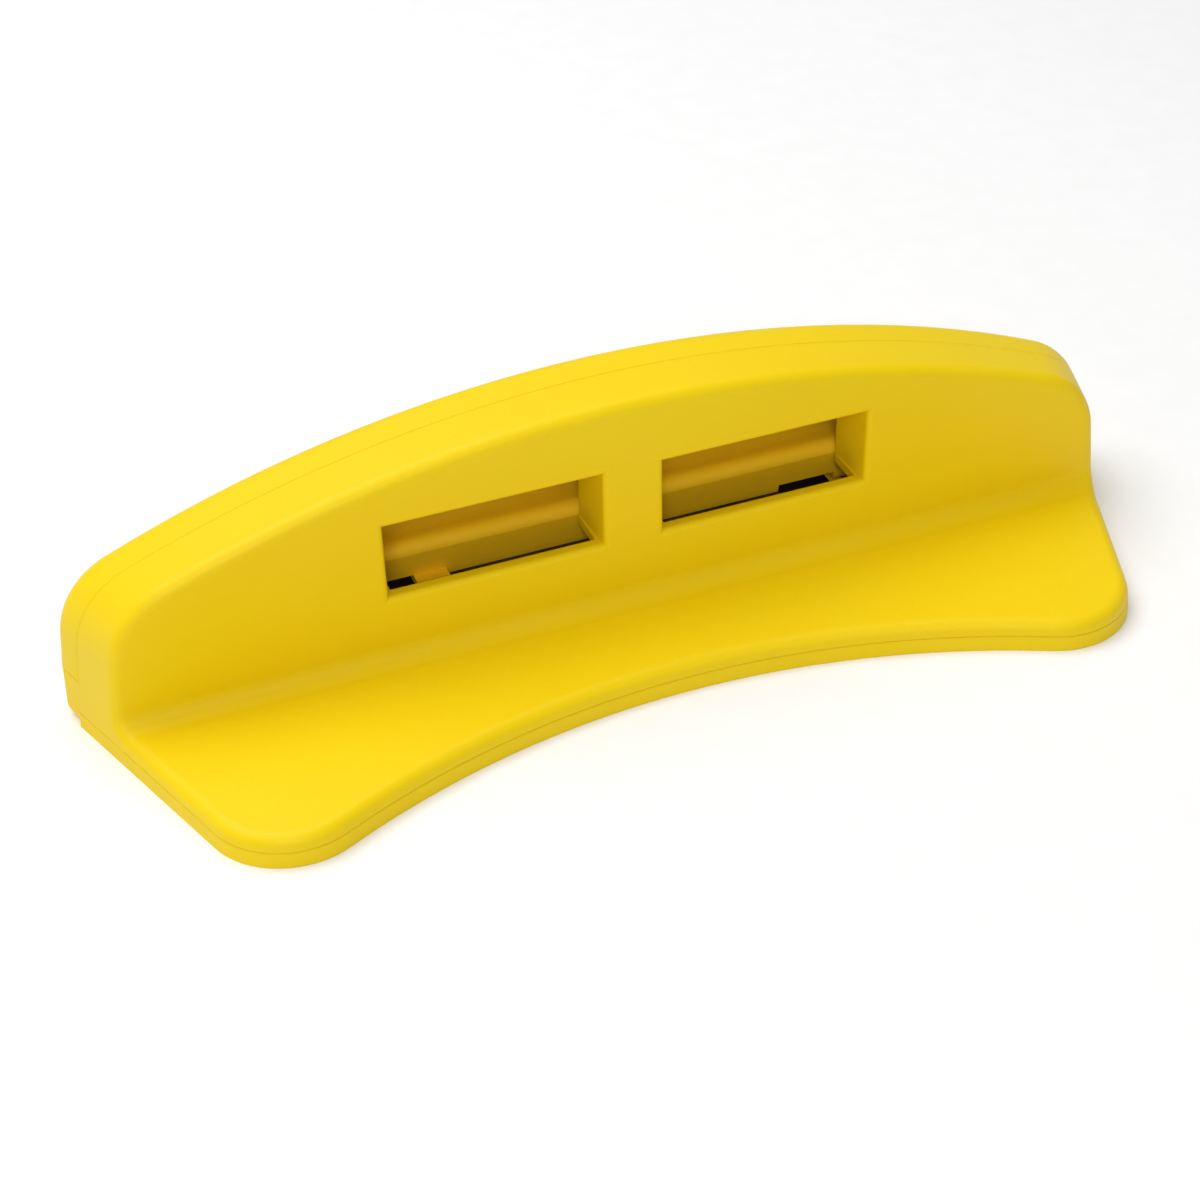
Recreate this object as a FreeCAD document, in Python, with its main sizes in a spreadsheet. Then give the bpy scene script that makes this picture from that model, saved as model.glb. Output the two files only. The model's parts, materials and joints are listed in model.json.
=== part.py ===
"""Hand tool for sharpening the edges of plastic ski scrapers, as a parametric assembly.

Frame: +X along the tool, -Y towards the open front of the ledge, +Z up.  The origin is on
the flat underside, under the middle of the whole tool.  All sizes are in millimetres.
Every piece is drawn about the joint plane of the two grip shells (y = 0, z = 0 at the
underside) and carried to the part's frame by one placement.
"""
import FreeCAD, Part
import Sketcher
import math
import os
import re

V = FreeCAD.Vector
doc = FreeCAD.newDocument("scraper_sharpener")

# ---------------------------------------------------------------- driving dimensions
SIZES = {
    # whole tool
    "half_length": 107.3, "arch_radius": 249.0, "arch_height": 50.8, "corner_radius": 16.0,
    "end_lean": 7.0, "end_sweep": 19.9, "front_depth": 11.4, "rear_depth": 10.0,
    "wall": 2.6, "soft_edge": 2.4, "rear_edge": 4.0, "joint_bevel": 0.35,
    # ledge
    "ledge_waist": 34.9, "ledge_arc": 159.3, "ledge_corner": 16.0, "ledge_top": 6.1,
    "cover_height": 3.3, "inner_bend": 3.6,
    # windows and the ribs beside them
    "window_near": 6.0, "window_far": 49.0, "window_floor": 20.4, "window_roof": 36.2,
    "window_draft": 5.0, "window_edge": 1.1, "rib": 3.0, "rib_floor": 18.5, "rib_gap": 0.2,
    # guide behind the blade channel
    "guide_height": 10.4, "guide_taper": 1.5, "guide_foot": 2.5,
    "channel_width": 5.4, "channel_half": 88.0, "strip_thick": 1.0, "strip_sink": 0.8,
    # file and its seats
    "file_length": 100.0, "file_width": 13.0, "file_thick": 3.4, "file_front": 7.0,
    "file_shift": -2.0, "file_bevel": 0.3, "seat_height": 9.6, "stop_length": 3.0,
    "fit_gap": 0.1,
    # clamp bar
    "bar_half": 66.0, "bar_nose_y": 0.2, "bar_nose_z": 20.4, "bar_nose_radius": 2.4,
    "bar_lip_y": 1.9, "bar_sweep": 3.0, "bar_back_gap": 0.3, "notch_depth": 2.3,
    "notch_rise": 1.7, "notch_width": 11.4, "toe_width": 6.6, "toe_reach": 3.0,
    "spring_room": 2.4, "spring_half": 3.6, "spring_wide": 3.9, "spring_crown": 1.8,
    "spring_thick": 0.4,
    # fasteners
    "clamp_x": 59.0, "clamp_y": 4.1, "screw_radius": 1.5, "head_radius": 2.75,
    "head_height": 2.2, "head_sink": 0.5, "screw_clear": 0.08, "nut_side": 5.5,
    "nut_height": 2.0, "socket_radius": 1.3, "boss_radius": 3.4, "insert_radius": 2.1,
    "insert_length": 5.0, "cover_screw_length": 2.3, "shell_screw_length": 12.0,
    "guide_screw_length": 12.0, "pin_radius": 1.5, "pin_length": 8.0,
}


def tan(angle):
    return math.tan(math.radians(angle))


sheet = doc.addObject("Spreadsheet::Sheet", "Sizes")
for row, (alias, number) in enumerate(SIZES.items(), start=1):
    sheet.set("A%d" % row, alias)
    sheet.set("B%d" % row, repr(number))
    sheet.setAlias("B%d" % row, alias)
doc.recompute()


def size(alias):
    """A driving dimension, read back from the sheet."""
    return float(sheet.get(alias))


def cells(formula):
    """The formula with each driving dimension's name written as a reference to its cell."""
    return re.sub("[a-z_]+", lambda word: "Sizes." + word.group(), formula)


def bind(thing, **formulas):
    """Tie properties of a document object to the sheet."""
    for prop, formula in formulas.items():
        thing.setExpression(prop.replace("__", "."), cells(str(formula)))


# ---------------------------------------------------------------- helpers: primitives
def box(name, low, lengths):
    """A block from its low corner and its three lengths, each a formula on the sheet."""
    block = doc.addObject("Part::Box", name)
    bind(block, Length=lengths[0], Width=lengths[1], Height=lengths[2],
         Placement__Base__x=low[0], Placement__Base__y=low[1], Placement__Base__z=low[2])
    return block


def rod(name, base, radius, height, along="z"):
    """A cylinder from the centre of its low end, along +Z or +Y."""
    bar = doc.addObject("Part::Cylinder", name)
    if along == "y":
        bar.Placement = FreeCAD.Placement(V(), FreeCAD.Rotation(V(1, 0, 0), -90))
    bind(bar, Radius=radius, Height=height,
         Placement__Base__x=base[0], Placement__Base__y=base[1], Placement__Base__z=base[2])
    return bar


def join(name, shapes):
    if len(shapes) == 1:
        return shapes[0]
    fused = doc.addObject("Part::MultiFuse", name)
    fused.Shapes = shapes
    return fused


def cut(name, base, tools):
    result = doc.addObject("Part::Cut", name)
    result.Base = base
    result.Tool = join(name + "_tools", tools)
    return result


# ---------------------------------------------------------------- helpers: sketches
def sketch(body, name, role, height=None):
    """A sketch on one of the body's own origin planes, lifted along the plane's normal."""
    plane = [p for p in body.Origin.OriginFeatures if p.Role == role][0]
    drawing = body.newObject("Sketcher::SketchObject", name)
    drawing.AttachmentSupport = [(plane, "")]
    drawing.MapMode = "FlatFace"
    if height is not None:
        bind(drawing, AttachmentOffset__Base__z=height)
    return drawing


def trace(drawing, start, steps):
    """A closed outline: each step is a point, or (middle, end, radius formula) for an arc."""
    here, spans = start, []
    for step in steps:
        if len(step) == 2:
            spans.append((Part.LineSegment(V(*here, 0), V(*step, 0)), None))
            here = step
        else:
            middle, end, radius = step
            spans.append((Part.Arc(V(*here, 0), V(*middle, 0), V(*end, 0)), radius))
            here = end
    index = [drawing.addGeometry(curve, False) for curve, radius in spans]
    for this, after in zip(index, index[1:] + index[:1]):
        near, far = [(a, b) for a in (1, 2) for b in (1, 2)
                     if drawing.getPoint(this, a).isEqual(drawing.getPoint(after, b), 1e-6)][0]
        drawing.addConstraint(Sketcher.Constraint("Coincident", this, near, after, far))
    for i, (_, radius) in zip(index, spans):
        if radius:
            drawn = drawing.Geometry[i].Radius
            number = drawing.addConstraint(Sketcher.Constraint("Radius", i, drawn))
            drawing.setExpression("Constraints[%d]" % number, cells(radius))
    return drawing


def edges_where(feature, test):
    """Names of the feature's edges for which the test holds."""
    return ["Edge%d" % (i + 1) for i, edge in enumerate(feature.Shape.Edges) if test(edge)]


def round_off(body, name, base, test, radius, kind="Fillet"):
    """A fillet or chamfer on the edges of the base that pass the test."""
    doc.recompute()
    feature = body.newObject("PartDesign::" + kind, name)
    feature.Base = (base, edges_where(base, test))
    bind(feature, **{"Radius" if kind == "Fillet" else "Size": radius})
    body.Tip = feature
    return feature


# ---------------------------------------------------------------- the outer form
REACH = 80.0        # far enough to clear the whole tool when a cut runs past it


def plan_outline(drawing, height, inset):
    """Plan of the tool at a height: swept ends, large front corners and a concave front.
    The back runs on past the tool, because the ends keep their sweep there."""
    sweep = math.radians(size("end_sweep"))
    lean_in = height * tan(size("end_lean")) * math.cos(sweep) + inset
    corner = size("ledge_corner") - lean_in
    arc = size("ledge_arc") + lean_in
    arc_y = -size("ledge_waist") - size("ledge_arc")
    half = size("half_length") - lean_in / math.cos(sweep)
    inward = (-math.cos(sweep), math.sin(sweep))
    run = (-math.sin(sweep), -math.cos(sweep))
    # the corner's centre lies a corner radius inside the side and outside the front arc
    base = (half + inward[0] * corner, inward[1] * corner)
    gap = (base[0], base[1] - arc_y)
    along = gap[0] * run[0] + gap[1] * run[1]
    step = -along - math.sqrt(along ** 2 - gap[0] ** 2 - gap[1] ** 2 + (arc + corner) ** 2)
    centre = (base[0] + run[0] * step, base[1] + run[1] * step)
    on_side = (centre[0] - inward[0] * corner, centre[1] - inward[1] * corner)
    out = (centre[0] / (arc + corner), (centre[1] - arc_y) / (arc + corner))
    on_arc = (out[0] * arc, arc_y + out[1] * arc)
    turn = 0.5 * (math.atan2(on_side[1] - centre[1], on_side[0] - centre[0])
                  + math.atan2(on_arc[1] - centre[1], on_arc[0] - centre[0]))
    middle = (centre[0] + corner * math.cos(turn), centre[1] + corner * math.sin(turn))
    behind = size("rear_depth") + 15.0
    back = (half + behind * math.tan(sweep), behind)

    def mirror(point):
        return (-point[0], point[1])

    trace(drawing, mirror(back), [
        back, on_side,
        (middle, on_arc, "ledge_corner - %r" % lean_in),
        ((0.0, arc_y + arc), mirror(on_arc), "ledge_arc + %r" % lean_in),
        (mirror(middle), mirror(on_side), "ledge_corner - %r" % lean_in),
        mirror(back)])
    return centre[1] - corner


def through(body, name, role, start, steps):
    """A cut of an outline that runs right through, both ways from its plane."""
    drawing = sketch(body, name + "_line", role)
    trace(drawing, start, steps)
    pocket = body.newObject("PartDesign::Pocket", name)
    pocket.Profile = drawing
    pocket.Type = 1
    pocket.Midplane = True
    body.Tip = pocket
    return pocket


def slab_cut(body, name, low_y, high_y):
    """Takes away everything between two depths."""
    return through(body, name, "YZ_Plane", (low_y, -REACH), [
        (high_y, -REACH), (high_y, REACH), (low_y, REACH), (low_y, -REACH)])


def blank(label, floor, roof, inset=0.0):
    """The plan drawn up from one height to another, with its sides leaning in."""
    body = doc.addObject("PartDesign::Body", label)
    drawing = sketch(body, label + "_plan", "XY_Plane")
    drawing.AttachmentOffset = FreeCAD.Placement(V(0, 0, floor), FreeCAD.Rotation())
    plan_outline(drawing, floor, inset)
    pad = body.newObject("PartDesign::Pad", label + "_pad")
    pad.Profile = drawing
    pad.Length = roof - floor
    slope = tan(size("end_lean")) * math.cos(math.radians(size("end_sweep")))
    pad.TaperAngle = -math.degrees(math.atan(slope))
    body.Tip = pad
    return body


def cut_step(body, inset=0.0):
    """Leaves the ledge in front of the fence, with a hollow bend between them."""
    face = inset - size("front_depth")
    top = size("ledge_top") - inset
    bend = size("inner_bend") + inset
    dip = bend * (1.0 - math.sqrt(0.5))
    return through(body, "step", "YZ_Plane", (face, REACH), [
        (face, top + bend), ((face - dip, top + dip), (face - bend, top), "inner_bend + %r" % inset),
        (-REACH, top), (-REACH, REACH), (face, REACH)])


def cut_arch(body, inset=0.0):
    """Rounds the top to the low arch."""
    radius = size("arch_radius") - inset
    crown = size("arch_height") - inset
    side = size("half_length") + 20.0
    low = crown - radius + math.sqrt(radius ** 2 - side ** 2)
    return through(body, "arch", "XZ_Plane", (-side, low), [
        ((0.0, crown), (side, low), "arch_radius - %r" % inset),
        (side, REACH), (-side, REACH), (-side, low)])


def end_corner():
    """Radius where an end meets the arch: as asked for, or as large as the rear shell's end
    is tall enough for."""
    radius, half = size("arch_radius"), size("half_length")
    height = size("arch_height") - radius + math.sqrt(radius ** 2 - half ** 2)
    turn = math.radians(90.0 - size("end_lean")) - math.asin(half / radius)
    room = height - size("guide_height") - size("rib_gap") - 1.0
    return min(size("corner_radius"), room / math.tan(turn / 2))


def round_corners(body, base, inset=0.0):
    """Rounds the two edges where the ends meet the arch."""
    radius = size("arch_radius") - inset
    centre = size("arch_height") - size("arch_radius")

    def on_corner(edge):
        span = edge.BoundBox
        return (span.YLength > 2.0 and abs(span.Center.x) > 0.8 * size("half_length")
                and all(abs(math.hypot(end.X, end.Z - centre) - radius) < 0.01
                        for end in edge.Vertexes))

    return round_off(body, "corners", base, on_corner, "end_corner - %r" % inset)


def front_form(label, inset=0.0):
    """Fence and ledge above the cover, ahead of the joint plane."""
    body = blank(label, size("cover_height"), REACH, inset)
    slab_cut(body, "behind", 0.0, REACH)
    cut_step(body, inset)
    return body, round_corners(body, cut_arch(body, inset), inset)


def rear_form(label, floor, inset=0.0):
    """The palm side of the fence, behind the joint plane."""
    body = blank(label, floor, REACH, inset)
    slab_cut(body, "ahead", -REACH, 0.0)
    slab_cut(body, "behind", size("rear_depth") - inset, REACH)
    return body, round_corners(body, cut_arch(body, inset), inset)


# ---------------------------------------------------------------- pieces
pieces = {}


def derive(alias, number):
    """Adds a size that follows from the others to the sheet."""
    row = 1 + max(int(cell[1:]) for cell in sheet.getUsedCells())
    sheet.set("A%d" % row, alias)
    sheet.set("B%d" % row, repr(number))
    sheet.setAlias("B%d" % row, alias)
    doc.recompute()


def centre_on_plan():
    """Puts the origin under the middle of the tool, between its front corners and its back."""
    trial = doc.addObject("PartDesign::Body", "plan_trial")
    front = plan_outline(sketch(trial, "plan_trial_line", "XY_Plane"), 0.0, 0.0)
    doc.removeObject(trial.Name)
    derive("joint_y", -0.5 * (front + size("rear_depth")))


def piece(label, *solids):
    """Gathers a piece's solids under its own name and carries them from the joint plane to
    the part's frame."""
    whole = doc.addObject("Part::Compound", label + "_piece")
    whole.Links = list(solids)
    whole.Label = label
    bind(whole, Placement__Base__y="joint_y")
    pieces[label] = whole


COVER_SCREWS = [(-80.0, -34.0), (80.0, -34.0), (-40.0, -24.0), (40.0, -24.0), (-92.0, -12.0),
                (92.0, -12.0)]
SHELL_SCREWS = [(-82.0, 26.0), (82.0, 26.0), (-38.0, 41.2), (38.0, 41.2), (0.0, 44.2)]
GUIDE_SCREWS = [(-74.0, 4.8), (74.0, 4.8), (-96.0, 4.8), (96.0, 4.8)]
PINS = [(-95.0, 21.0), (95.0, 21.0)]


def front_shell():
    body, last = front_form("front_outer")

    def on_rim(edge):
        span = edge.BoundBox
        return (span.ZMin > size("ledge_top") - 0.01
                and span.YMax < 0.01 - size("front_depth"))

    last = round_off(body, "soft_rim", last, on_rim, "front_soft")
    for word, side in (("left", -1), ("right", 1)):
        drawing = sketch(body, "window_" + word, "XY_Plane", "window_roof")
        draw_in = size("front_depth") * tan(size("window_draft"))
        near, far = side * size("window_near"), side * size("window_far")
        near_in, far_in = near + side * draw_in, far - side * draw_in
        face = -size("front_depth")
        trace(drawing, (near, face), [(far, face), (far_in, 0.0), (near_in, 0.0), (near, face)])
        pocket = body.newObject("PartDesign::Pocket", "window_cut_" + word)
        pocket.Profile = drawing
        bind(pocket, Length="window_roof - window_floor")
        body.Tip = pocket
        last = pocket

    def on_window(edge):
        span = edge.BoundBox
        return (abs(span.YMax + size("front_depth")) < 0.01 and span.YLength < 0.01
                and span.ZMin > size("window_floor") - 0.01
                and span.ZMax < size("window_roof") + 0.01)

    round_off(body, "window_edges", last, on_window, "window_edge")

    # the ledge is a plate of one wall's thickness, so the hollow stops at the fence
    hollow, _ = front_form("front_hollow", size("wall"))
    slab_cut(hollow, "hollow_front", -REACH, size("wall") - size("front_depth"))
    face = "wall - front_depth"
    rear = "front_depth - wall - rib_gap"
    rise = "window_roof - rib_floor + rib"
    ribs = [box("mullion", ("-window_near - window_edge", face, "rib_floor"),
                ("2 * window_near + 2 * window_edge", rear, rise))]
    for word, edge in (("left", "-window_far - rib"), ("right", "window_far - 1")):
        ribs.append(box("side_rib_" + word, (edge, face, "rib_floor"), ("rib + 1", rear, rise)))
    ribs.append(box("window_hood", ("-window_far - rib", face, "window_roof - 1"),
                    ("2 * window_far + 2 * rib", rear, "rib")))
    seat = "seat_height - cover_height"
    reach = "front_depth - wall - file_front + 1.5"
    ribs.append(box("file_seat", ("-channel_half", face, "cover_height"),
                    ("2 * channel_half", reach, seat)))
    for side, edge in (("left", "-half_length"), ("right", "channel_half")):
        ribs.append(box("seat_end_" + side, (edge, face, "cover_height"),
                        ("half_length - channel_half", "front_depth - wall", seat)))
    for i, (x, z) in enumerate(SHELL_SCREWS + PINS):
        ribs.append(rod("front_boss_%d" % i, (x, face, z), "boss_radius",
                        "front_depth - wall", "y"))
    hollow = cut("front_cavity", hollow, ribs)
    shell = cut("front_body", body, [hollow])
    holes = []
    for i, (x, z) in enumerate(SHELL_SCREWS):
        holes.append(rod("front_hole_%d" % i, (x, "-insert_length - 3", z),
                         "screw_radius + screw_clear", "insert_length + 4", "y"))
        holes.append(rod("front_sleeve_%d" % i, (x, "-insert_length", z),
                         "insert_radius + screw_clear / 2", "insert_length + 1", "y"))
    for i, (x, z) in enumerate(PINS):
        holes.append(rod("front_pin_hole_%d" % i, (x, "-pin_length / 2 - 0.1", z),
                         "pin_radius + screw_clear / 2", "pin_length", "y"))
    for i, (x, y) in enumerate(COVER_SCREWS):
        holes.append(rod("ledge_hole_%d" % i, (x, y, "cover_height - 1"),
                         "screw_radius + screw_clear / 2", "ledge_top - cover_height + 0.1"))
    piece("front_shell", cut("front_shell_solid", shell, holes))


def base_cover():
    body = blank("cover_outer", 0.0, size("cover_height"))
    last = slab_cut(body, "behind", 0.0, REACH)

    def on_parting(edge):
        span = edge.BoundBox
        return (span.ZMin > size("cover_height") - 0.01 and span.YMin < -0.1)

    round_off(body, "parting_bevel", last, on_parting, "joint_bevel", "Chamfer")
    hollow = blank("cover_hollow", size("wall"), size("cover_height") + 1.0, size("wall"))
    slab_cut(hollow, "hollow_back", -size("front_depth"), REACH)
    bosses = [rod("cover_boss_%d" % i, (x, y, 0), "boss_radius + 1", "cover_height")
              for i, (x, y) in enumerate(COVER_SCREWS)]
    cuts = [cut("cover_cavity", hollow, bosses),
            box("cover_channel", ("-channel_half", "-channel_width", -1),
                ("2 * channel_half", "channel_width + 1", "cover_height + 2")),
            box("front_strip_bed", ("-channel_half + 2", "-channel_width - strip_thick",
                                    "strip_sink"),
                ("2 * channel_half - 4", "strip_thick + 1", "cover_height - 2 * strip_sink"))]
    for i, (x, y) in enumerate(COVER_SCREWS):
        cuts.append(rod("cover_hole_%d" % i, (x, y, -1), "screw_radius + screw_clear",
                        "cover_height + 2"))
        cuts.append(rod("cover_head_%d" % i, (x, y, -1), "head_radius + screw_clear",
                        "head_height + head_sink + 1"))
    piece("base_cover", cut("base_cover_solid", body, cuts))


def rear_shell():
    body, last = rear_form("rear_outer", size("guide_height"))

    def on_back(edge):
        span = edge.BoundBox
        return (span.YMin > size("rear_depth") - 0.01
                and span.ZMax > size("guide_height") + 0.01)

    last = round_off(body, "back_rim", last, on_back, "rear_soft")

    def on_joint(edge):
        span = edge.BoundBox
        return span.YMax < 0.01 and span.ZMax > size("guide_height") + 0.01

    round_off(body, "rear_joint_bevel", last, on_joint, "joint_bevel", "Chamfer")
    hollow, _ = rear_form("rear_hollow", size("guide_height") - 1.0, size("wall"))
    solids = []
    for i, (x, z) in enumerate(SHELL_SCREWS + PINS):
        solids.append(rod("rear_boss_%d" % i, (x, 0, z), "boss_radius", "rear_depth - wall", "y"))
    for i, (x, y) in enumerate(GUIDE_SCREWS):
        solids.append(rod("guide_boss_%d" % i, (x, y, "guide_height"), "boss_radius",
                          "insert_length + 4"))
    hollow = cut("rear_cavity", hollow, solids)
    holes = [hollow]
    for i, (x, z) in enumerate(SHELL_SCREWS):
        holes.append(rod("rear_hole_%d" % i, (x, -1, z), "screw_radius + screw_clear",
                         "rear_depth + 2", "y"))
        holes.append(rod("rear_head_%d" % i, (x, "rear_depth - head_sink - head_height", z),
                         "head_radius + screw_clear", "head_height + head_sink + 1", "y"))
    for i, (x, z) in enumerate(PINS):
        holes.append(rod("rear_pin_hole_%d" % i, (x, -1, z), "pin_radius + screw_clear / 2",
                         "pin_length / 2 + 1.1", "y"))
    for i, (x, y) in enumerate(GUIDE_SCREWS):
        holes.append(rod("guide_sleeve_%d" % i, (x, y, "guide_height - 1"),
                         "insert_radius + screw_clear / 2", "insert_length + 1"))
        holes.append(rod("guide_tip_%d" % i, (x, y, "guide_height - 1"),
                         "screw_radius + screw_clear", "insert_length + 4"))
    piece("rear_shell", cut("rear_shell_solid", body, holes))


def rear_guide():
    body = blank("guide_outer", 0.0, size("guide_height"))
    slab_cut(body, "ahead", -REACH, 0.0)
    top, low = size("rear_depth"), size("rear_depth") - size("guide_taper")
    last = through(body, "slope", "YZ_Plane", (top, size("guide_height")), [
        (low, 0.0), (low, -REACH), (REACH, -REACH), (REACH, REACH), (top, REACH),
        (top, size("guide_height"))])

    def on_upright(edge):
        span = edge.BoundBox
        return span.YMin > low - 0.01 and span.XLength < 5.0 and span.ZLength > 5.0

    last = round_off(body, "upright_edges", last, on_upright, "rear_soft")

    def on_foot(edge):
        span = edge.BoundBox
        return span.ZMax < 0.01 and span.YMax > 1.0

    last = round_off(body, "foot_edge", last, on_foot, "guide_foot")

    def on_top_rim(edge):
        span = edge.BoundBox
        return span.ZMin > size("guide_height") - 0.01 and span.YMax > 0.1

    round_off(body, "guide_joint_bevel", last, on_top_rim, "joint_bevel", "Chamfer")
    wide = "file_width - file_front"
    cuts = [box("file_bed", ("-bar_half", -1, "seat_height"),
                ("2 * bar_half", wide + " + 1 + fit_gap", 20)),
            box("rear_strip_bed", ("-channel_half + 2", -1, "strip_sink"),
                ("2 * channel_half - 4", "strip_thick + 1", "seat_height - 2 * strip_sink"))]
    for side in (-1, 1):
        word = "left" if side < 0 else "right"
        x = "%d * clamp_x" % side
        cuts.append(rod("clamp_hole_" + word, (x, "clamp_y", -1),
                        "screw_radius + screw_clear / 2", 40))
        cuts.append(rod("clamp_head_" + word, (x, "clamp_y", -1),
                        "head_radius + screw_clear / 2", "head_height + head_sink + 1"))
    for i, (x, y) in enumerate(GUIDE_SCREWS):
        cuts.append(rod("guide_hole_%d" % i, (x, y, -1), "screw_radius + screw_clear", 40))
        cuts.append(rod("guide_head_%d" % i, (x, y, -1), "head_radius + screw_clear",
                        "head_height + head_sink + 1"))
    piece("rear_guide", cut("rear_guide_solid", body, cuts))


def file_and_stops():
    blade = box("file_blank", ("file_shift - file_length / 2", "-file_front", "seat_height"),
                ("file_length", "file_width", "file_thick"))
    doc.recompute()
    bevelled = doc.addObject("Part::Chamfer", "file_solid")
    bevelled.Base = blade
    bevel = size("file_bevel")
    bevelled.Edges = [(i + 1, bevel, bevel) for i, edge in enumerate(blade.Shape.Edges)]
    piece("file", bevelled)
    for word, x in (("left", "file_shift - file_length / 2 - fit_gap - stop_length"),
                    ("right", "file_shift + file_length / 2 + fit_gap")):
        piece("file_stop_" + word,
              box("stop_" + word, (x, "-file_front", "seat_height"),
                  ("stop_length", "file_width", "file_thick - 1")))


def clamp_bar():
    body = doc.addObject("PartDesign::Body", "bar_form")
    drawing = sketch(body, "bar_profile", "YZ_Plane")
    floor = size("seat_height") + size("file_thick")
    nose, lip, nose_z = size("bar_nose_y"), size("bar_lip_y"), size("bar_nose_z")
    radius, sweep = size("bar_nose_radius"), size("bar_sweep")
    back = size("rear_depth") - size("wall") - size("bar_back_gap")
    top = nose_z + radius
    turn = radius * (1.0 - math.sqrt(0.5))
    swing = sweep * math.sqrt(0.5)
    trace(drawing, (lip, floor), [
        (nose, nose_z), ((nose + turn, top - turn), (nose + radius, top), "bar_nose_radius"),
        (back - sweep, top), ((back - sweep + swing, top + sweep - swing), (back, top + sweep),
                              "bar_sweep"),
        (back, floor), (lip, floor)])
    pad = body.newObject("PartDesign::Pad", "bar_pad")
    pad.Profile = drawing
    pad.Midplane = True
    bind(pad, Length="2 * bar_half")
    body.Tip = pad
    floor_cell = "seat_height + file_thick"
    file_left = "file_shift - file_length / 2"
    toe = box("toe", (file_left + " + notch_width", "bar_lip_y - toe_reach", floor_cell),
              ("toe_width", "toe_reach + 1.5", "notch_rise"))
    cuts = [box("notch_left", (file_left + " - 1", -5, floor_cell),
                ("notch_width + 1", "5 + bar_lip_y + notch_depth", "notch_rise")),
            box("notch_right", ("file_shift + file_length / 2 - notch_width", -5, floor_cell),
                ("notch_width + 1", "5 + bar_lip_y + notch_depth", "notch_rise"))]
    for side, word in ((-1, "left"), (1, "right")):
        x = "%d * clamp_x" % side
        near = "-bar_half - 1" if side < 0 else "file_length / 2 + 2 + stop_length"
        cuts.append(box("spring_room_" + word, (near, -5, floor_cell),
                        ("bar_half - file_length / 2 - 1 - stop_length", 20, "spring_room")))
        cuts.append(rod("bar_hole_" + word, (x, "clamp_y", 0), "screw_radius + screw_clear / 2",
                        "seat_height + file_thick + spring_room + nut_height + 4"))
        cuts.append(box("nut_bed_" + word,
                        (x + " - nut_side / 2 - fit_gap", "clamp_y - nut_side / 2 - fit_gap",
                         "seat_height + file_thick + spring_room + 1"),
                        ("nut_side + 2 * fit_gap", 20, "nut_height + 2 * fit_gap")))
    piece("clamp_bar", join("bar_with_toe", [cut("bar_solid", body, cuts), toe]))


def screw(name, base, length, along="z", head="low"):
    """A socket screw from the outer face of its head, shank pointing along the axis, or
    against it for a head at the high end."""
    x, y, z = base
    level = z if along == "z" else y

    def at(offset):
        place = "%s + %s" % (level, offset)
        return (x, y, place) if along == "z" else (x, place, z)

    if head == "low":
        parts = [rod(name + "_head", at("0"), "head_radius", "head_height", along),
                 rod(name + "_shank", at("head_height / 2"), "screw_radius",
                     "%s + head_height / 2" % length, along)]
        socket = at("-0.5")
    else:
        parts = [rod(name + "_head", at("-head_height"), "head_radius", "head_height", along),
                 rod(name + "_shank", at("-head_height - %s" % length), "screw_radius",
                     "%s + head_height / 2" % length, along)]
        socket = at("-head_height / 2")
    drive = doc.addObject("Part::Prism", name + "_drive")
    drive.Polygon = 6
    if along == "y":
        drive.Placement = FreeCAD.Placement(V(), FreeCAD.Rotation(V(1, 0, 0), -90))
    bind(drive, Circumradius="socket_radius", Height="head_height / 2 + 0.5",
         Placement__Base__x=socket[0], Placement__Base__y=socket[1],
         Placement__Base__z=socket[2])
    return cut(name, join(name + "_body", parts), [drive])


def fasteners():
    for side, word in ((-1, "left"), (1, "right")):
        piece("clamp_screw_" + word,
              screw("clamp_screw_" + word + "_solid",
                    ("%d * clamp_x" % side, "clamp_y", "head_sink"),
                    "seat_height + file_thick + spring_room + nut_height + 4"
                    " - head_sink - head_height - 1"))
    piece("shell_screws", *[
        screw("shell_screw_%d" % i, (x, "rear_depth - head_sink", z), "shell_screw_length",
              "y", "high") for i, (x, z) in enumerate(SHELL_SCREWS)])
    piece("cover_screws", *[
        screw("cover_screw_%d" % i, (x, y, "head_sink"), "cover_screw_length")
        for i, (x, y) in enumerate(COVER_SCREWS)])
    piece("guide_screws", *[
        screw("guide_screw_%d" % i, (x, y, "head_sink"), "guide_screw_length")
        for i, (x, y) in enumerate(GUIDE_SCREWS)])
    piece("locating_pins", *[
        rod("pin_%d" % i, (x, "-pin_length / 2", z), "pin_radius", "pin_length", "y")
        for i, (x, z) in enumerate(PINS)])


def sleeve(name, base, along="z"):
    return cut(name, rod(name + "_outer", base, "insert_radius", "insert_length", along),
               [rod(name + "_bore", base, "screw_radius + screw_clear / 2", "insert_length",
                    along)])


def inserts():
    piece("shell_inserts", *[sleeve("shell_insert_%d" % i, (x, "-insert_length", z), "y")
                            for i, (x, z) in enumerate(SHELL_SCREWS)])
    piece("guide_inserts", *[sleeve("guide_insert_%d" % i, (x, y, "guide_height"))
                            for i, (x, y) in enumerate(GUIDE_SCREWS)])
    nuts = []
    for side, word in ((-1, "left"), (1, "right")):
        x = "%d * clamp_x" % side
        level = "seat_height + file_thick + spring_room + 1 + fit_gap"
        block = box("nut_" + word, (x + " - nut_side / 2", "clamp_y - nut_side / 2", level),
                    ("nut_side", "nut_side", "nut_height"))
        nuts.append(cut("nut_solid_" + word, block,
                        [rod("nut_bore_" + word, (x, "clamp_y", level),
                             "screw_radius + screw_clear / 2", "nut_height")]))
    piece("clamp_nuts", *nuts)


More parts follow.
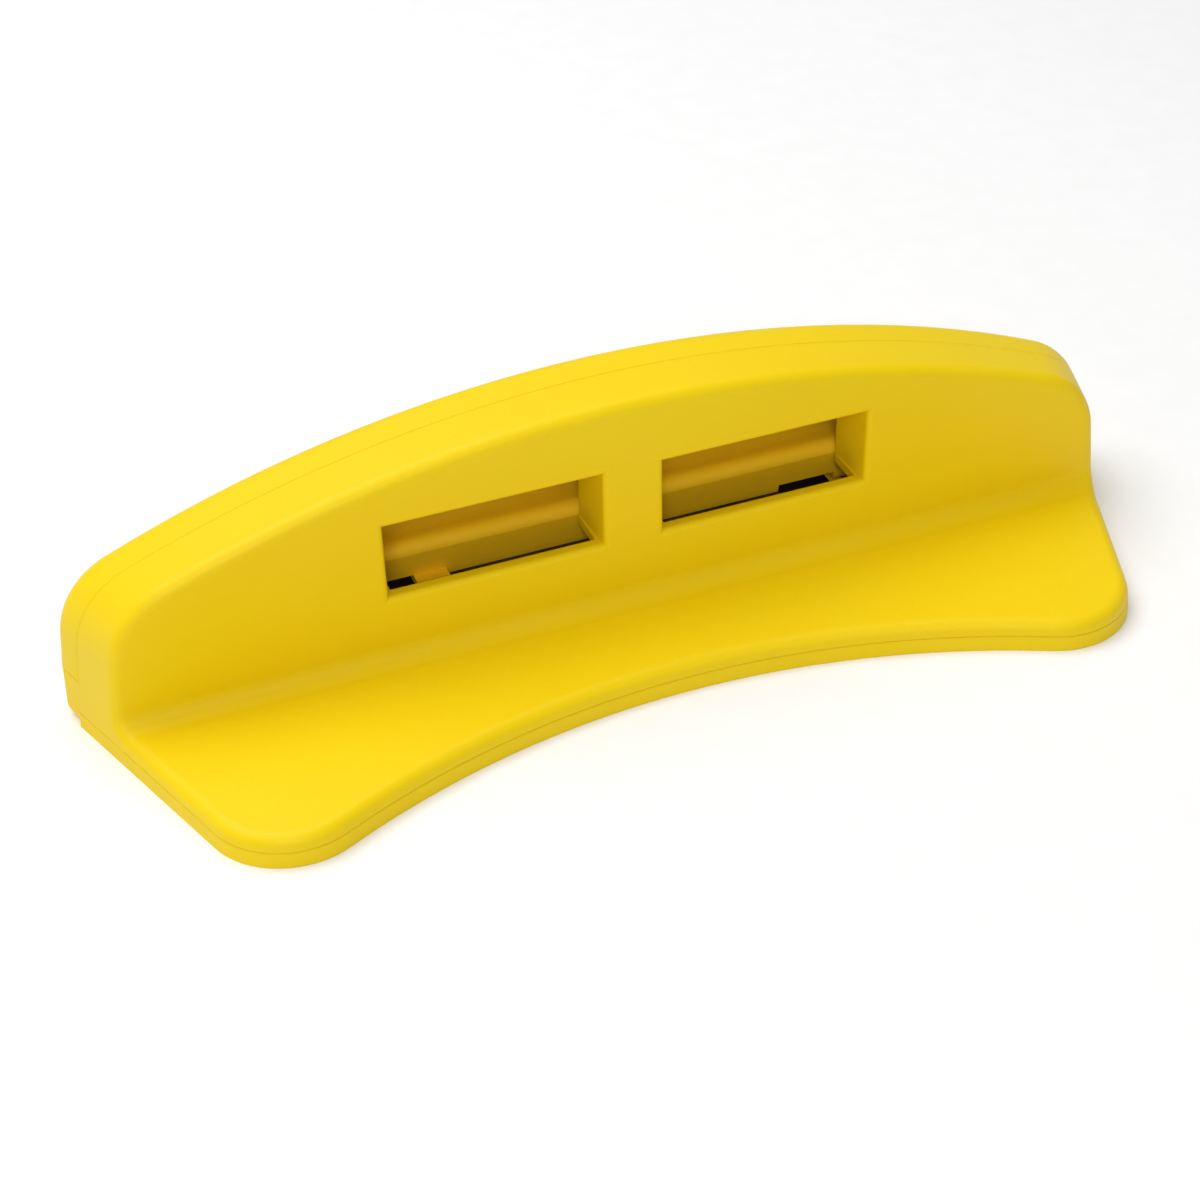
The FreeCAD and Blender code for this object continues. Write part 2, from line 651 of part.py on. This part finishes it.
def strips():
    long = "2 * channel_half - 4 - 2 * fit_gap"
    piece("front_glide_strip",
          box("front_strip", ("-channel_half + 2 + fit_gap", "-channel_width - strip_thick",
                              "strip_sink + fit_gap"),
              (long, "strip_thick", "cover_height - 2 * strip_sink - 2 * fit_gap")))
    piece("rear_glide_strip",
          box("rear_strip", ("-channel_half + 2 + fit_gap", 0, "strip_sink + fit_gap"),
              (long, "strip_thick", "seat_height - 2 * strip_sink - 2 * fit_gap")))


def springs():
    """Bowed leaf springs that lift the bar when its screws are let out."""
    thick, half = size("spring_thick"), size("spring_half")
    for side, word in ((-1, "left"), (1, "right")):
        body = doc.addObject("PartDesign::Body", "spring_form_" + word)
        drawing = sketch(body, "spring_line_" + word, "XZ_Plane",
                         "spring_wide / 2 - clamp_y")
        low = size("seat_height")
        high = low + size("file_thick") + size("spring_room") - size("fit_gap")
        mid = side * size("clamp_x")
        crown = size("spring_crown")
        trace(drawing, (mid - half, low), [
            (mid - crown, high), (mid + crown, high), (mid + half, low),
            (mid + half - thick, low), (mid + crown - thick, high - thick),
            (mid - crown + thick, high - thick), (mid - half + thick, low),
            (mid - half, low)])
        pad = body.newObject("PartDesign::Pad", "spring_pad_" + word)
        pad.Profile = drawing
        bind(pad, Length="spring_wide")
        pad.Reversed = True
        body.Tip = pad
        hole = rod("spring_hole_" + word, ("%d * clamp_x" % side, "clamp_y", 0),
                   "screw_radius + screw_clear", "arch_height")
        piece("lift_spring_" + word, cut("spring_solid_" + word, body, [hole]))


derive("end_corner", end_corner())
# The long soft edges run round the end corners, so they stay well under their radius.
derive("front_soft", min(size("soft_edge"), 0.6 * size("end_corner")))
derive("rear_soft", min(size("rear_edge"), 0.6 * size("end_corner")))
centre_on_plan()
front_shell()
base_cover()
rear_shell()
rear_guide()
file_and_stops()
clamp_bar()
fasteners()
inserts()
strips()
springs()
doc.recompute()


faulty = [item.Name for item in doc.Objects if {"Invalid", "Error"} & set(item.State)]
faulty += [label for label, item in pieces.items()
           if item.Shape.isNull() or not item.Shape.isValid()]
if faulty:
    raise SystemExit("not built: " + ", ".join(faulty))
os.makedirs("parts", exist_ok=True)
for label, item in pieces.items():
    item.Shape.exportStep("parts/%s.step" % label)
    print(label, len(item.Shape.Solids), "solids,", round(item.Shape.Volume), "cubic mm")
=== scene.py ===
import json
import math

import bmesh
import bpy
from mathutils import Matrix, Vector


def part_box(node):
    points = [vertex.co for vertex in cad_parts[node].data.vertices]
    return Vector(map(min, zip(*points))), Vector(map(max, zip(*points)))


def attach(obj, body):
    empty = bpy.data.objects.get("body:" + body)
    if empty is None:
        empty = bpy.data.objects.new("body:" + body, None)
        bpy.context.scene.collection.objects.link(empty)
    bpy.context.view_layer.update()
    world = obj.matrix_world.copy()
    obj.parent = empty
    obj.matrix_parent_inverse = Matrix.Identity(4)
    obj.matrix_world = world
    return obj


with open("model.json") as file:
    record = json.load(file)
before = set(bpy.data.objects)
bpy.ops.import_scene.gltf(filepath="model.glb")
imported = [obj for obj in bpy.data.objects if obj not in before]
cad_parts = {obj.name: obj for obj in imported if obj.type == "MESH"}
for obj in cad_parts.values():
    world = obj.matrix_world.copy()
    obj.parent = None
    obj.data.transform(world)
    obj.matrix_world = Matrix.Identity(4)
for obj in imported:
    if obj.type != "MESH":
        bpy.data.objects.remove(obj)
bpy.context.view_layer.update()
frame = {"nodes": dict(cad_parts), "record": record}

MM = 0.001


def millimetres(node):
    low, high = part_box(node)
    return Vector(low) / MM, Vector(high) / MM


# Places that everything else is measured from.
SEAM_Y = millimetres("front_shell")[1].y
FILE_LOW, FILE_HIGH = millimetres("file")


# ---------------------------------------------------------------- materials

class Recipe:
    """A node material with a principled shader, built step by step."""

    def __init__(self, name):
        self.material = bpy.data.materials.new(name)
        self.material.use_nodes = True
        self.tree = self.material.node_tree
        self.shader = self.tree.nodes["Principled BSDF"]
        self.place = self.add("ShaderNodeTexCoord").outputs["Object"]

    def add(self, kind, **settings):
        node = self.tree.nodes.new(kind)
        for key, value in settings.items():
            setattr(node, key, value)
        return node

    def link(self, start, end):
        self.tree.links.new(start, end)

    def put(self, **values):
        for key, value in values.items():
            self.shader.inputs[key.replace("_", " ")].default_value = value

    def stretched(self, scale):
        mapping = self.add("ShaderNodeMapping")
        mapping.inputs["Scale"].default_value = scale
        self.link(self.place, mapping.inputs["Vector"])
        return mapping.outputs["Vector"]

    def noise(self, per_metre, detail=2.0, rough=0.5, scale=(1, 1, 1)):
        node = self.add("ShaderNodeTexNoise")
        node.inputs["Scale"].default_value = per_metre
        node.inputs["Detail"].default_value = detail
        node.inputs["Roughness"].default_value = rough
        self.link(self.stretched(scale), node.inputs["Vector"])
        return node.outputs["Fac"]

    def ramp(self, source, low, high, start=0.3, end=0.7):
        node = self.add("ShaderNodeMapRange")
        node.inputs["From Min"].default_value = start
        node.inputs["From Max"].default_value = end
        node.inputs["To Min"].default_value = low
        node.inputs["To Max"].default_value = high
        self.link(source, node.inputs["Value"])
        return node.outputs["Result"]

    def blend(self, factor, first, second):
        node = self.add("ShaderNodeMix", data_type="RGBA")
        self.link(factor, node.inputs["Factor"])
        for socket, colour in (("A", first), ("B", second)):
            target = next(i for i in node.inputs if i.name == socket and i.type == "RGBA")
            if isinstance(colour, tuple):
                target.default_value = (*colour, 1)
            else:
                self.link(colour, target)
        return next(o for o in node.outputs if o.type == "RGBA")

    def bump(self, *layers):
        """Each layer is a height source and its depth in metres."""
        normal = None
        for source, depth in layers:
            node = self.add("ShaderNodeBump")
            node.inputs["Strength"].default_value = 1.0
            node.inputs["Distance"].default_value = depth
            self.link(source, node.inputs["Height"])
            if normal is not None:
                self.link(normal, node.inputs["Normal"])
            normal = node.outputs["Normal"]
        self.link(normal, self.shader.inputs["Normal"])


def moulded_plastic(name, colour, deep, roughness, soft=0.06):
    """Satin injection-moulded plastic: faint flow marks, a fine even skin and a
    few soft rubbed patches."""
    it = Recipe(name)
    flow = it.noise(9, 3, 0.5, (1, 2.2, 3.0))
    base = it.blend(it.ramp(flow, 0.0, 1.0, 0.32, 0.68), colour, deep)
    it.link(base, it.shader.inputs["Base Color"])
    rubbed = it.noise(38, 4, 0.6)
    it.link(it.ramp(rubbed, roughness - 0.035, roughness + 0.05),
            it.shader.inputs["Roughness"])
    it.bump((it.noise(900, 2, 0.4), 0.000035), (it.noise(2600, 2, 0.5), 0.000012))
    it.put(Subsurface_Weight=soft, Subsurface_Scale=0.004, IOR=1.46, Specular_IOR_Level=0.22)
    it.shader.inputs["Subsurface Radius"].default_value = (1.0, 0.7, 0.12)
    return it.material


def cut_steel(name):
    """Dark oiled file steel with fine grinding along its length."""
    it = Recipe(name)
    oil = it.noise(60, 4, 0.6)
    base = it.blend(it.ramp(oil, 0.0, 1.0),
                    (0.035, 0.030, 0.026), (0.10, 0.09, 0.08))
    it.link(base, it.shader.inputs["Base Color"])
    grind = it.noise(700, 3, 0.6, (0.06, 1, 1))
    it.link(it.ramp(grind, 0.30, 0.52), it.shader.inputs["Roughness"])
    it.bump((grind, 0.00004))
    it.put(Metallic=0.85)
    return it.material


def plated_steel(name, colour, dull, along=(1, 1, 1)):
    """Bright plated or ground steel with light handling marks."""
    it = Recipe(name)
    cloud = it.noise(240, 3, 0.6)
    base = it.blend(it.ramp(cloud, 0.0, 1.0), colour, dull)
    it.link(base, it.shader.inputs["Base Color"])
    marks = it.noise(1500, 3, 0.6, along)
    it.link(it.ramp(marks, 0.22, 0.40), it.shader.inputs["Roughness"])
    it.bump((marks, 0.00002))
    it.put(Metallic=1.0)
    return it.material


def knurled_brass(name):
    """Brass with a fine diamond knurl."""
    it = Recipe(name)
    tint = it.noise(300, 3, 0.6)
    base = it.blend(it.ramp(tint, 0.0, 1.0),
                    (0.72, 0.50, 0.20), (0.50, 0.33, 0.12))
    it.link(base, it.shader.inputs["Base Color"])
    waves = []
    for turn in (0.8, -0.8):
        mapping = it.add("ShaderNodeMapping")
        mapping.inputs["Rotation"].default_value = (0, 0, turn)
        it.link(it.place, mapping.inputs["Vector"])
        wave = it.add("ShaderNodeTexWave")
        wave.inputs["Scale"].default_value = 600
        it.link(mapping.outputs["Vector"], wave.inputs["Vector"])
        waves.append(wave.outputs["Fac"])
    it.bump((waves[0], 0.00006), (waves[1], 0.00006))
    it.put(Metallic=1.0, Roughness=0.34)
    return it.material


MATERIALS = {
    "shell_plastic": moulded_plastic(
        "shell_plastic", (0.88, 0.630, 0.003), (0.85, 0.600, 0.002), 0.44),
    # painted shade: the bar is the same yellow plastic, tinted more orange here to stand in
    # for the warm bounce light in the shaded window recesses
    "bar_plastic": moulded_plastic(
        "bar_plastic", (0.92, 0.58, 0.012), (0.88, 0.54, 0.010), 0.46),
    "glide_plastic": moulded_plastic(
        "glide_plastic", (0.84, 0.84, 0.81), (0.78, 0.78, 0.75), 0.34, 0.1),
    "file_steel": cut_steel("file_steel"),
    "screw_steel": plated_steel(
        "screw_steel", (0.62, 0.62, 0.64), (0.45, 0.46, 0.49)),
    "pin_steel": plated_steel(
        "pin_steel", (0.68, 0.68, 0.70), (0.55, 0.55, 0.58), (1, 0.1, 1)),
    "spring_steel": plated_steel(
        "spring_steel", (0.50, 0.51, 0.53), (0.34, 0.34, 0.37), (0.1, 1, 1)),
    "insert_brass": knurled_brass("insert_brass"),
}


def finish(piece, slot):
    piece.data.materials.clear()
    piece.data.materials.append(MATERIALS[slot])


for part in frame["record"]["subparts"]:
    finish(frame["nodes"][part["node"]], part["material_slot"])


# ------------------------------------------------------------- added pieces

def mesh_piece(name, build, slot, body="root"):
    """A piece made by build(bm), in millimetres, riding on a body."""
    bm = bmesh.new()
    build(bm)
    bmesh.ops.recalc_face_normals(bm, faces=bm.faces)
    bmesh.ops.scale(bm, vec=(MM, MM, MM), verts=bm.verts)
    data = bpy.data.meshes.new(name)
    bm.to_mesh(data)
    bm.free()
    piece = bpy.data.objects.new(name, data)
    bpy.context.scene.collection.objects.link(piece)
    finish(piece, slot)
    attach(piece, body)
    return piece


# Teeth of the file, in millimetres.
TOOTH_PITCH = 0.8
TOOTH_RISE = 0.22
TOOTH_SEAT = 0.02               # how far a tooth's foot sinks into the blank
TOOTH_CREST = 0.68 * TOOTH_PITCH
TOOTH_BACK = 0.86 * TOOTH_PITCH
TOOTH_LEAN = math.radians(24)
PLAIN_END = 3.0                 # uncut length at each end of the file


def teeth(bm, near, far, face, up):
    """One face of the file's single cut: saw-shaped ridges that slant across it.

    near and far are the two y sides, face is the face's height, and up is 1 for
    the top face or -1 for the underside.
    """
    slant = (far - near) * math.tan(TOOTH_LEAN)
    start, end = FILE_LOW.x + PLAIN_END, FILE_HIGH.x - PLAIN_END
    profile = ((0.0, -TOOTH_SEAT), (TOOTH_CREST, TOOTH_RISE), (TOOTH_BACK, -TOOTH_SEAT))
    count = int((end - start - slant) / TOOTH_PITCH)
    for number in range(count):
        x = start + number * TOOTH_PITCH
        rim = []
        for y, shift in ((near, 0.0), (far, slant)):
            for along, rise in profile:
                rim.append(bm.verts.new((x + shift + along, y, face + up * rise)))
        a, b, c, d, e, f = rim
        for corners in ((a, b, e, d), (b, c, f, e), (c, a, d, f), (a, c, b), (d, e, f)):
            bm.faces.new(corners)


# The underside is cut where the blade channel bares it, the top over its own width.
mesh_piece("file_teeth_under", lambda bm: teeth(
    bm, SEAM_Y - 5.2, SEAM_Y - 0.2, FILE_LOW.z, -1), "file_steel")
mesh_piece("file_teeth_top", lambda bm: teeth(
    bm, FILE_LOW.y + 0.3, SEAM_Y - 1.4, FILE_HIGH.z, 1), "file_steel")


# --------------------------------------------------------------------- stage

def floor():
    bm = bmesh.new()
    bmesh.ops.create_grid(bm, x_segments=2, y_segments=2, size=4.0)
    data = bpy.data.meshes.new("floor")
    bm.to_mesh(data)
    bm.free()
    piece = bpy.data.objects.new("floor", data)
    bpy.context.scene.collection.objects.link(piece)
    it = Recipe("floor_paper")
    grain = it.noise(120, 3, 0.5)
    paper = it.blend(it.ramp(grain, 0.0, 1.0), (0.92, 0.92, 0.92), (0.90, 0.90, 0.90))
    it.link(paper, it.shader.inputs["Base Color"])
    it.put(Roughness=0.9)
    piece.data.materials.append(it.material)


floor()


def softbox(name, place, target, size, power):
    data = bpy.data.lights.new(name, "AREA")
    data.shape = "RECTANGLE"
    data.size, data.size_y = size
    data.energy = power
    lamp = bpy.data.objects.new(name, data)
    bpy.context.scene.collection.objects.link(lamp)
    lamp.location = place
    lamp.rotation_mode = "QUATERNION"
    lamp.rotation_quaternion = (Vector(target) - Vector(place)).to_track_quat("-Z", "Y")


softbox("key_top", (-0.30, 0.35, 1.2), (0, 0, 0), (1.3, 1.1), 15.0)
softbox("fill_left", (-1.4, -0.2, 0.45), (0, 0, 0.02), (1.0, 0.8), 0.2)
softbox("fill_front", (-0.45, -1.20, 0.96), (0, 0, 0.03), (0.5, 0.4), 8.0)

world = bpy.data.worlds.new("studio")
world.use_nodes = True
background = world.node_tree.nodes["Background"]
background.inputs["Color"].default_value = (1.0, 1.0, 1.0, 1)
background.inputs["Strength"].default_value = 0.28
bpy.context.scene.world = world
bpy.context.scene.view_settings.view_transform = "Standard"


# -------------------------------------------------------------------- camera

TURN = math.radians(20.65)      # from square on, towards the left end
TILT = math.radians(36.987)     # down from level
ROLL = math.radians(-1.547)
CAMERA_PLACE = (-129.441, SEAM_Y - 335.198, 268.442)    # millimetres


def camera():
    """Looks at the tool from the front left and above, with a slight roll."""
    turn, tilt, roll = TURN, TILT, ROLL
    ahead = Vector((math.sin(turn) * math.cos(tilt),
                    math.cos(turn) * math.cos(tilt), -math.sin(tilt)))
    level = Vector((math.cos(turn), -math.sin(turn), 0))
    upright = level.cross(ahead)
    right = math.cos(roll) * level + math.sin(roll) * upright
    up = right.cross(ahead)
    data = bpy.data.cameras.new("camera")
    data.sensor_width = 36.0
    data.lens = 67.236
    data.clip_start, data.clip_end = 0.01, 20
    lens = bpy.data.objects.new("camera", data)
    bpy.context.scene.collection.objects.link(lens)
    frame_matrix = Matrix((right, up, -ahead)).transposed().to_4x4()
    frame_matrix.translation = Vector(CAMERA_PLACE) * MM
    lens.matrix_world = frame_matrix
    bpy.context.scene.camera = lens


camera()
